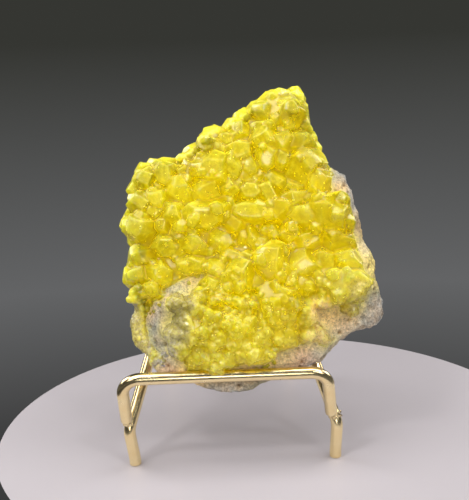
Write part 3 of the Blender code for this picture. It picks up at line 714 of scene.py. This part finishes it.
def relaxed(values, ends, rounds, strength=0.5):
    """Values at the vertices, each drawn towards the mean of its neighbours, several times over."""
    count = len(values)
    flat = values.reshape(count, -1)
    degree = np.bincount(ends.ravel(), minlength=count)[:, None]
    for _ in range(rounds):
        total = np.empty_like(flat)
        for column in range(flat.shape[1]):
            total[:, column] = np.bincount(ends[:, 0], flat[ends[:, 1], column], count)
            total[:, column] += np.bincount(ends[:, 1], flat[ends[:, 0], column], count)
        flat = flat + strength * (total / degree - flat)
    return flat.reshape(values.shape)


def standing_out(co, normals, ends, rounds):
    """How far in mm each place stands out from the surface relaxed this many times."""
    return np.einsum("ij,ij->i", co - relaxed(co, ends, rounds), normals) / MM


def noise_values(co, size, shift=0.0):
    """Smooth noise between about -1 and 1 at each place."""
    offset = Vector((shift, shift * 0.7, shift * 1.3))
    return np.array([noise.noise(Vector(point) / size + offset) for point in co])


def cellular_values(co, size):
    """Distance from each place to the nearest of some scattered points, in cell sizes."""
    return np.array([noise.voronoi(Vector(point) / size)[0][0] for point in co])


def kept_off_wires(co, clearance):
    """Places moved out of the easel's wires."""
    for path in (frame_path(), lip_path()):
        ends = np.array([place(*point) for point in path])
        for start, end in zip(ends, ends[1:]):
            along = end - start
            t = np.clip((co - start) @ along / (along @ along), 0, 1)
            away = co - start - t[:, None] * along
            distance = np.linalg.norm(away, axis=1)
            near = distance < clearance
            co[near] += away[near] * (clearance / distance[near] - 1)[:, None]
    return co


def joined_mesh(name, *parts):
    """One mesh out of several; each part is a bmesh or a mesh."""
    joined = bmesh.new()
    for part in parts:
        if isinstance(part, bmesh.types.BMesh):
            loose = bpy.data.meshes.new(name + "_part")
            part.to_mesh(loose)
            joined.from_mesh(loose)
        else:
            joined.from_mesh(part)
    mesh = bpy.data.meshes.new(name)
    joined.to_mesh(mesh)
    joined.free()
    return mesh


def apply_modifiers(piece):
    graph = bpy.context.evaluated_depsgraph_get()
    mesh = bpy.data.meshes.new_from_object(piece.evaluated_get(graph))
    piece.modifiers.clear()
    piece.data = mesh


def one_skin(name, mesh, voxel, finish, most_triangles=None):
    """A new piece whose mesh is grown into one skin, thinned where it has too many triangles."""
    piece = add_object(name, mesh, finish)
    skin = piece.modifiers.new("one_skin", "REMESH")
    skin.mode = "VOXEL"
    skin.voxel_size = voxel
    apply_modifiers(piece)
    triangles = 2 * len(piece.data.polygons)
    if most_triangles and triangles > most_triangles:
        thinning = piece.modifiers.new("thinning", "DECIMATE")
        thinning.ratio = most_triangles / triangles
        apply_modifiers(piece)
    piece.data.name = name
    piece.data.materials.clear()
    piece.data.materials.append(finish)
    return piece


# Crystals


def convex_corners(planes):
    """Corners of the solid inside a set of planes, each a normal and a distance."""
    normals = np.array([normal for normal, _ in planes])
    distances = np.array([distance for _, distance in planes])
    corners = []
    for three in itertools.combinations(range(len(planes)), 3):
        system = normals[list(three)]
        if abs(np.linalg.det(system)) < 1e-6:
            continue
        corner = np.linalg.solve(system, distances[list(three)])
        inside = np.all(normals @ corner <= distances + 1e-9)
        if inside and all(np.linalg.norm(corner - other) > 1e-3 for other in corners):
            corners.append(corner)
    return np.array(corners)


def crystal_shape(rng):
    """Corners and triangles of a stubby dipyramid with cut tips, turned at random, about 1 across."""
    a, b, c = SULFUR_AXES
    planes = []
    for sx, sy, sz in itertools.product((-1, 1), repeat=3):
        planes.append((sx / a, sy / b, sz / c))
    for sy, sz in itertools.product((-1, 1), repeat=2):
        planes.append((0, sy / b, sz / c))
    planes += [(0, 0, 1), (0, 0, -1)]
    uneven = []
    for plane in planes:
        normal = np.array(plane) / np.linalg.norm(plane)
        uneven.append((normal, 1 + rng.uniform(-HABIT_SPREAD, HABIT_SPREAD)))
    turn = Quaternion([rng.gauss(0, 1) for _ in range(4)]).normalized().to_matrix()
    corners = convex_corners(uneven) @ np.array(turn)
    corners = (corners - corners.mean(axis=0)) / np.ptp(corners, axis=0).mean()
    bm = bmesh.new()
    for corner in corners:
        bm.verts.new(corner)
    bmesh.ops.convex_hull(bm, input=bm.verts)
    bmesh.ops.recalc_face_normals(bm, faces=bm.faces)
    bm.verts.index_update()
    faces = [tuple(vert.index for vert in face.verts) for face in bm.faces]
    corners = np.array([vert.co[:] for vert in bm.verts])
    bm.free()
    return corners, faces


def crystals_mesh(name, crystals):
    """Separate closed crystals, each given as its middle and size."""
    rng = random.Random(SEED)
    shapes = [crystal_shape(rng) for _ in range(HABITS)]
    corners = []
    faces = []
    for middle, size in crystals:
        base = len(corners)
        shape_corners, shape_faces = rng.choice(shapes)
        corners += (np.array(middle) + shape_corners * size).tolist()
        faces += [tuple(base + i for i in face) for face in shape_faces]
    mesh = bpy.data.meshes.new(name)
    mesh.from_pydata(corners, [], faces)
    return mesh


def merged_copy(node):
    """The CAD node's mesh with its split corners joined again."""
    bm = bmesh.new()
    bm.from_mesh(frame["nodes"][node].data)
    bmesh.ops.remove_doubles(bm, verts=bm.verts, dist=MERGE_DISTANCE)
    bmesh.ops.recalc_face_normals(bm, faces=bm.faces)
    return bm


def triangulated(node):
    """The CAD node's mesh with joined corners, all in triangles."""
    bm = merged_copy(node)
    bmesh.ops.triangulate(bm, faces=bm.faces)
    bm.faces.ensure_lookup_table()
    bm.faces.index_update()
    return bm


def crystal_tones(bm, rng):
    """A tone for each face, shared by the faces of one crystal: creases between crystals are hollow."""
    tones = [None] * len(bm.faces)
    for first in bm.faces:
        if tones[first.index] is not None:
            continue
        tone = rng.random()
        waiting = [first]
        tones[first.index] = tone
        while waiting:
            for edge in waiting.pop().edges:
                if edge.calc_face_angle_signed(0) < CREASE_ANGLE:
                    continue
                for face in edge.link_faces:
                    if tones[face.index] is None:
                        tones[face.index] = tone
                        waiting.append(face)
    return tones


def rim_depth(z):
    """How far back the rock's widest section lies, in metres, at a scene height in metres."""
    return ORIGIN.y + (z - RIM_BASE_HEIGHT * MM) * RIM_LEAN


def filled_core(cad_sulfur):
    """A copy of the matrix that fills the crust from inside, and stays below bare rock."""
    bm = merged_copy("matrix_rock")
    for _ in range(2):
        bmesh.ops.subdivide_edges(bm, edges=bm.edges, cuts=1, use_grid_fill=True)
    bm.normal_update()
    moves = []
    for vert in bm.verts:
        _, _, _, distance = cad_sulfur.find_nearest(vert.co)
        covered = distance < CORE_SWELL * MM
        moves.append(vert.normal * (CORE_SWELL if covered else -CORE_SINK) * MM)
    for vert, move in zip(bm.verts, moves):
        vert.co += move
        vert.co.y = min(vert.co.y, rim_depth(vert.co.z) + CORE_PAST_RIM * MM)
    bmesh.ops.triangulate(bm, faces=bm.faces)
    return bm


def surface_samples(bm, rng, spacing, accepted):
    """Random places on the faces that accepted() takes, about one for each spacing in mm squared."""
    samples = []
    for face in bm.faces:
        middle = face.calc_center_median()
        if not accepted(middle, face.normal):
            continue
        corners = [vert.co for vert in face.verts]
        expected = face.calc_area() / (spacing * MM) ** 2
        for _ in range(int(expected + rng.random())):
            u, v = sorted((rng.random(), rng.random()))
            spot = corners[0] * u + corners[1] * (v - u) + corners[2] * (1 - v)
            samples.append((spot, face.normal))
    return samples


def height_share(z):
    """0 at the foot of the rock, where the crystals are small, and 1 where they are large."""
    return min(1.0, max(0.0, ((z - ORIGIN.z) / MM - SMALL_BELOW) / SMALL_FADE))


def patch_values(co, patches):
    """1 in the inner half of the round patches, falling off to 0 a little outside them."""
    x = (co[:, 0] - ORIGIN.x) / MM
    z = (co[:, 2] - ORIGIN.z) / MM
    values = np.zeros(len(co))
    for patch_x, patch_z, radius in patches:
        away = np.hypot(x - patch_x, z - patch_z) / radius
        values = np.maximum(values, np.clip(1.6 - 1.2 * away, 0, 1))
    return values


def sugar_values(co):
    """1 where the crystals are small and granular like sugar, and 0 where they are large and clear."""
    z = (co[:, 2] - ORIGIN.z) / MM
    low_down = np.clip(1 - (z - GRANULAR_BELOW) / GRANULAR_FADE, 0, 1)
    return np.maximum(low_down, patch_values(co, SUGAR_PATCHES))


def dull_patches(co):
    """How dull the crust is at each place, from 0 to 1, and its colour there."""
    x = (co[:, 0] - ORIGIN.x) / MM
    z = (co[:, 2] - ORIGIN.z) / MM
    warp = 0.3 * noise_values(co, 2.0 * MM, 4.0) + 0.2 * noise_values(co, 0.8 * MM, 9.0)
    most = np.zeros(len(co))
    total = np.full((len(co), 3), 1e-6)
    weight = np.full(len(co), 1e-6)
    for patch_x, patch_z, half_width, half_height, tone in DULL_PATCHES:
        away = ((x - patch_x) / half_width) ** 2 + ((z - patch_z) / half_height) ** 2
        share = np.exp(-away)
        most = np.maximum(most, np.clip(2.2 * share - 0.5 + warp, 0, 0.95))
        total += share[:, None] * np.array(TONES[tone])
        weight += share
    return most, total / weight[:, None]


def is_outside(middle, normal, cad_matrix):
    """Whether a face of the crust looks outwards, not at the matrix below it."""
    start = middle + normal * LIFT_OFF * MM
    hit, _, _, _ = cad_matrix.ray_cast(start, normal, INSIDE_REACH)
    return hit is None


def olive_share(place_on_rock):
    """1 in the middle of the olive patch, falling off to 0 outside it."""
    x, z = OLIVE_MIDDLE
    away_x = ((place_on_rock.x - ORIGIN.x) / MM - x) / OLIVE_HALF_WIDTH
    away_z = ((place_on_rock.z - ORIGIN.z) / MM - z) / OLIVE_HALF_HEIGHT
    return math.exp(-away_x ** 2 - away_z ** 2)


def is_covered(crystal, share, sulfur_tree, rock_tree):
    """Whether sulfur is what shows from the front at this share of the crystal's size to each side."""
    middle, size = crystal
    reach = size * share
    ahead = Vector((0, 1, 0))
    for x, z in ((reach, 0), (-reach, 0), (0, reach), (0, -reach)):
        start = Vector((middle.x + x, FAR_IN_FRONT, middle.z + z))
        sulfur, _, _, sulfur_distance = sulfur_tree.ray_cast(start, ahead)
        rock, _, _, rock_distance = rock_tree.ray_cast(start, ahead)
        if sulfur is None or (rock is not None and rock_distance < sulfur_distance):
            return False
    return True


def grown_on(bm, rng, layer, accepted):
    """A layer of crystals at random places on the faces that accepted() takes."""
    spacing, smallest, largest, sink = layer
    crystals = []
    for spot, normal in surface_samples(bm, rng, spacing, accepted):
        size = MM * (smallest + (largest - smallest) * rng.random() ** SIZE_SKEW)
        crystals.append((spot - normal * size * sink, size))
        # A spare draw keeps the later crystals in their places
        rng.random()
    return crystals


def placed_crystals(sulfur_tree):
    """The listed crystals, each sunk into the crust that lies straight behind its place."""
    crystals = []
    for x, z, size in PLACED_CRYSTALS:
        spot, _, _, _ = sulfur_tree.ray_cast(place(x, IN_FRONT, z), Vector((0, 1, 0)))
        crystals.append((spot + Vector((0, PLACED_SINK * size * MM, 0)), size * MM))
    return crystals


def grown_crystals(cad_bm, cad_tree, rock_bm, matrix_tree, rng):
    """All the crystals that grow on the crust and beside it."""

    def on_crust(middle, normal):
        _, _, _, distance = matrix_tree.find_nearest(middle)
        return distance < CRUST_REACH and is_outside(middle, normal, matrix_tree)

    def low_down(middle, normal):
        return height_share(middle.z) < rng.random() and is_outside(middle, normal, matrix_tree)

    def anywhere(middle, normal):
        return is_outside(middle, normal, matrix_tree)

    def near_crust(middle, normal):
        """Bare rock on the front close to the crust, outside the olive patch."""
        if normal.y > FACES_BACK or normal.z < FACES_DOWN:
            return False
        _, _, _, distance = cad_tree.find_nearest(middle)
        hit, _, _, _ = cad_tree.ray_cast(middle, Vector((0, -1, 0)))
        share = math.exp(-distance / ROCK_LAYER_FADE) * (1 - olive_share(middle))
        return hit is None and rng.random() < share

    def contained(crystals, share):
        """The crystals that reach past neither the crust's outline nor its bare patches."""
        return [crystal for crystal in crystals if is_covered(crystal, share, cad_tree, matrix_tree)]

    large = grown_on(cad_bm, rng, CRUST_LAYER, on_crust)
    large += grown_on(cad_bm, rng, SCATTERED_LAYER, anywhere)
    small = []
    for layer in LOW_LAYERS:
        small += grown_on(cad_bm, rng, layer, low_down)
    grown = contained(large, LARGE_COVER) + contained(small, SMALL_COVER)
    grown += grown_on(rock_bm, rng, ROCK_LAYER, near_crust)
    return grown + placed_crystals(cad_tree)


def shape_lump(mesh, ends):
    """Smooth the dull patches, roughen the whole surface and keep it off the easel's wires."""
    co = relaxed(vert_places(mesh), ends, 1)
    dull, dull_tone = dull_patches(co)
    co += (relaxed(co, ends, DULL_ROUNDS) - co) * dull[:, None]
    set_places(mesh, co)
    sugar = sugar_values(co)
    wobble = 0.08 * noise_values(co, 2.4 * MM) + 0.03 * noise_values(co, 0.9 * MM, 7.0)
    wobble += (0.12 * sugar + 0.35 * dull) * (0.5 - cellular_values(co, 0.8 * MM))
    wobble += 0.15 * dull * noise_values(co, 1.8 * MM, 13.0)
    co = co + vert_normals(mesh) * wobble[:, None] * MM
    co = kept_off_wires(co, WIRE_RADIUS + LUMP_CLEARANCE)
    set_places(mesh, co)
    set_value(mesh, "dull", dull)
    set_color(mesh, "dull_tone", dull_tone)
    set_value(mesh, "sugar", sugar)
    return co


def paint_lump(mesh, co, ends, matrix_tree):
    """Store how high, upright, sharp and golden each place is, and how far to the side it lies; height,
    uprightness and sharpness drive painted crevice shade, top light and edge highlights.
    """
    normals = vert_normals(mesh)
    # Standing out from the relaxed surface, low in crevices: used for painted crevice shade
    crest = standing_out(co, normals, ends, CREST_ROUNDS)
    set_value(mesh, "crest", np.clip(0.5 + crest * 0.6, 0, 1))
    # Uprightness, used for painted light on upward faces
    set_value(mesh, "top_light_rise", relaxed(normals[:, 2], ends, RISE_ROUNDS))
    # Sharpness, used for painted highlights along edges
    sharpness = standing_out(co, normals, ends, EDGE_ROUNDS)
    set_value(mesh, "edge", np.clip((sharpness - 0.02) / 0.06, 0, 1))
    set_value(mesh, "gold", patch_values(co, GOLD_PATCHES))
    facing_back = relaxed(normals[:, 1], ends, FACING_ROUNDS)
    behind_rim = (co[:, 1] - rim_depth(co[:, 2])) / MM
    rim = np.clip((behind_rim + RIM_BLUR) / RIM_BLUR, 0, 1)
    side = np.maximum(rim, np.clip((facing_back + SIDE_FADE) / SIDE_FADE, 0, 1))
    unbacked = [matrix_tree.ray_cast(Vector(point), AWAY, BACKED_REACH)[0] is None for point in co]
    unbacked = relaxed(np.array(unbacked, float), ends, UNBACKED_ROUNDS)
    set_value(mesh, "side", np.maximum(side, UNBACKED_CLOUD * unbacked))


def sulfur_piece(finish):
    rng = random.Random(SEED)
    cad_bm = triangulated("sulfur_crystals")
    tones = crystal_tones(cad_bm, rng)
    cad_tree = BVHTree.FromBMesh(cad_bm)
    rock_bm = triangulated("matrix_rock")
    matrix_tree = BVHTree.FromBMesh(rock_bm)
    grown = grown_crystals(cad_bm, cad_tree, rock_bm, matrix_tree, rng)
    lump_mesh = joined_mesh("sulfur_lump", cad_bm, filled_core(cad_tree), crystals_mesh("grown", grown))
    lump = one_skin("sulfur_lump", lump_mesh, LUMP_VOXEL, finish, LUMP_TRIANGLES)
    mesh = lump.data
    ends = edge_ends(mesh)
    co = shape_lump(mesh, ends)
    paint_lump(mesh, co, ends, matrix_tree)
    nearest = [cad_tree.find_nearest(Vector(point))[2] for point in co]
    tone = np.array([tones[index] for index in nearest])
    set_value(mesh, "tone", relaxed(tone, ends, TONE_ROUNDS))
    mesh.shade_smooth()
    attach(lump, "root")
    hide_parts("sulfur_crystals")


# Matrix


def painted_zones(co):
    """Base colour of the rock at each place."""
    weight = np.full(len(co), BASE_WEIGHT)
    total = weight[:, None] * np.array(TONES["grey"])
    front = np.clip(1 - (co[:, 1] - rim_depth(co[:, 2])) / ZONE_FADE, ZONE_LEAST, 1)
    warp_x = ZONE_WARP * noise_values(co, ZONE_WARP_SIZE, 3.0)
    warp_z = ZONE_WARP * noise_values(co, ZONE_WARP_SIZE, 11.0)
    x = (co[:, 0] - ORIGIN.x) / MM + warp_x
    z = (co[:, 2] - ORIGIN.z) / MM + warp_z
    for patch_x, patch_z, radius, tone in TONE_PATCHES:
        share = front * np.exp(-((x - patch_x) ** 2 + (z - patch_z) ** 2) / radius ** 2)
        total += share[:, None] * np.array(TONES[tone])
        weight += share
    return total / weight[:, None]


def sulfur_on_rock(co, normals):
    """How far sulfur coats the rock below the crust, and dusts it beside the crust, from 0 to 1."""
    crust = BVHTree.FromBMesh(merged_copy("sulfur_crystals"))
    coating = []
    dusting = []
    for point, normal in zip(co, normals):
        spot = Vector(point)
        hit, _, _, _ = crust.ray_cast(spot, Vector(normal), COATING_REACH)
        distance = crust.find_nearest(spot)[3] / MM
        if hit is None and normal[1] < FACES_BACK:
            hit, _, _, _ = crust.ray_cast(spot, TOWARDS_FRONT, FRONT_COATING_REACH)
        coating.append(1.0 if hit or distance < COATING_TOUCH else 0.0)
        dusting.append(math.exp(-max(0.0, distance - DUSTING_START) / DUSTING_FADE) * DUSTING_MOST)
    dull, _ = dull_patches(co)
    return np.array(coating) * (1 - dull), np.array(dusting)


def rock_relief(co):
    """Height of crags, grains and pits in mm, and how open each place is, from 0 in a pit to 1, which the
    material turns into painted shade in the pits.
    """
    crags = 0.45 * noise_values(co, 3.6 * MM) + 0.22 * noise_values(co, 1.6 * MM, 5.0)
    grains = 0.55 - 0.6 * cellular_values(co, 1.2 * MM) - 0.4 * cellular_values(co, 0.7 * MM)
    pits = np.clip(1 - cellular_values(co + 0.5, 2.3 * MM) / 0.34, 0, 1)
    height = crags + 0.42 * grains - 0.75 * pits
    relief = np.clip(0.55 + 0.9 * grains - 0.9 * pits, 0, 1)
    return height, relief


def matrix_piece(finish):
    rock_mesh = joined_mesh("matrix_surface", triangulated("matrix_rock"))
    rock = one_skin("matrix_surface", rock_mesh, ROCK_VOXEL, finish)
    mesh = rock.data
    ends = edge_ends(mesh)
    co = relaxed(vert_places(mesh), ends, 3)
    set_places(mesh, co)
    normals = vert_normals(mesh)
    coating, dusting = sulfur_on_rock(co, normals)
    height, relief = rock_relief(co)
    height *= 1 - 0.8 * coating
    co = co + normals * (height * MM)[:, None]
    co = kept_off_wires(co, WIRE_RADIUS + ROCK_CLEARANCE)
    set_places(mesh, co)
    set_color(mesh, "zone", painted_zones(co))
    set_value(mesh, "relief", relief)
    set_value(mesh, "coating", relaxed(coating, ends, 2))
    set_value(mesh, "dusting", dusting)
    mesh.shade_smooth()
    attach(rock, "root")
    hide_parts("matrix_rock")


# Stage


def camera():
    data = bpy.data.cameras.new("camera")
    data.lens = CAMERA_LENS
    data.clip_start = 0.01
    viewer = bpy.data.objects.new("camera", data)
    bpy.context.scene.collection.objects.link(viewer)
    viewer.matrix_world = (
        Matrix.Translation(ORIGIN + CAMERA_PLACE)
        @ Matrix.Rotation(-CAMERA_TURN, 4, "Z")
        @ Matrix.Rotation(math.pi / 2 - CAMERA_TILT, 4, "X")
        @ Matrix.Rotation(-CAMERA_ROLL, 4, "Z")
    )
    bpy.context.scene.camera = viewer


def floor():
    bm = bmesh.new()
    bmesh.ops.create_circle(bm, cap_ends=True, segments=160, radius=FLOOR_RADIUS)
    mesh = bpy.data.meshes.new("floor")
    bm.to_mesh(mesh)
    bm.free()
    disc = add_object("floor", mesh, floor_material())
    disc.location = ORIGIN + FLOOR_MIDDLE + Vector((0, 0, -FLOOR_DROP))


def lights():
    """Rectangular soft lamps, each with its radiance over its face."""
    for name, location, target, width, depth, radiance in LAMPS:
        data = bpy.data.lights.new(name, "AREA")
        data.shape = "RECTANGLE"
        data.size = width
        data.size_y = depth
        data.energy = radiance * math.pi * width * depth
        lamp = bpy.data.objects.new(name, data)
        bpy.context.scene.collection.objects.link(lamp)
        lamp.visible_camera = False
        lamp.visible_glossy = name not in NOT_REFLECTED
        lamp.location = ORIGIN + Vector(location)
        towards = Vector(target) - Vector(location)
        lamp.rotation_euler = towards.to_track_quat("-Z", "Y").to_euler()


def world():
    surroundings = bpy.data.worlds.new("surroundings")
    bpy.context.scene.world = surroundings
    surroundings.use_nodes = True
    nodes = surroundings.node_tree.nodes
    links = surroundings.node_tree.links
    direction = nodes.new("ShaderNodeTexCoord")
    parts = nodes.new("ShaderNodeSeparateXYZ")
    spread = nodes.new("ShaderNodeMapRange")
    spread.inputs["From Min"].default_value = -0.5
    spread.inputs["From Max"].default_value = 0.5
    ramp = nodes.new("ShaderNodeValToRGB")
    ramp.color_ramp.elements.new(0.5)
    for element, (position, color) in zip(ramp.color_ramp.elements, WORLD_STOPS):
        element.position = position
        element.color = (*color, 1.0)
    links.new(direction.outputs["Generated"], parts.inputs["Vector"])
    links.new(parts.outputs["Z"], spread.inputs["Value"])
    links.new(spread.outputs["Result"], ramp.inputs["Fac"])
    links.new(ramp.outputs["Color"], nodes["Background"].inputs["Color"])


def main():
    camera()
    bpy.context.scene.view_settings.view_transform = "Standard"
    brass = brass_material()
    tube("front_wire", frame_path(), brass, "easel_frame")
    tube("lip_wire", lip_path(), brass, "easel_lip")
    tube("rear_wire", rear_leg_path(), brass, "easel_rear_leg")
    for name, spot, size, spikiness in SOLDER_BEADS:
        solder_bead(name, spot, size, spikiness, brass)
    matrix_piece(matrix_material())
    sulfur_piece(sulfur_material())
    floor()
    lights()
    world()


main()
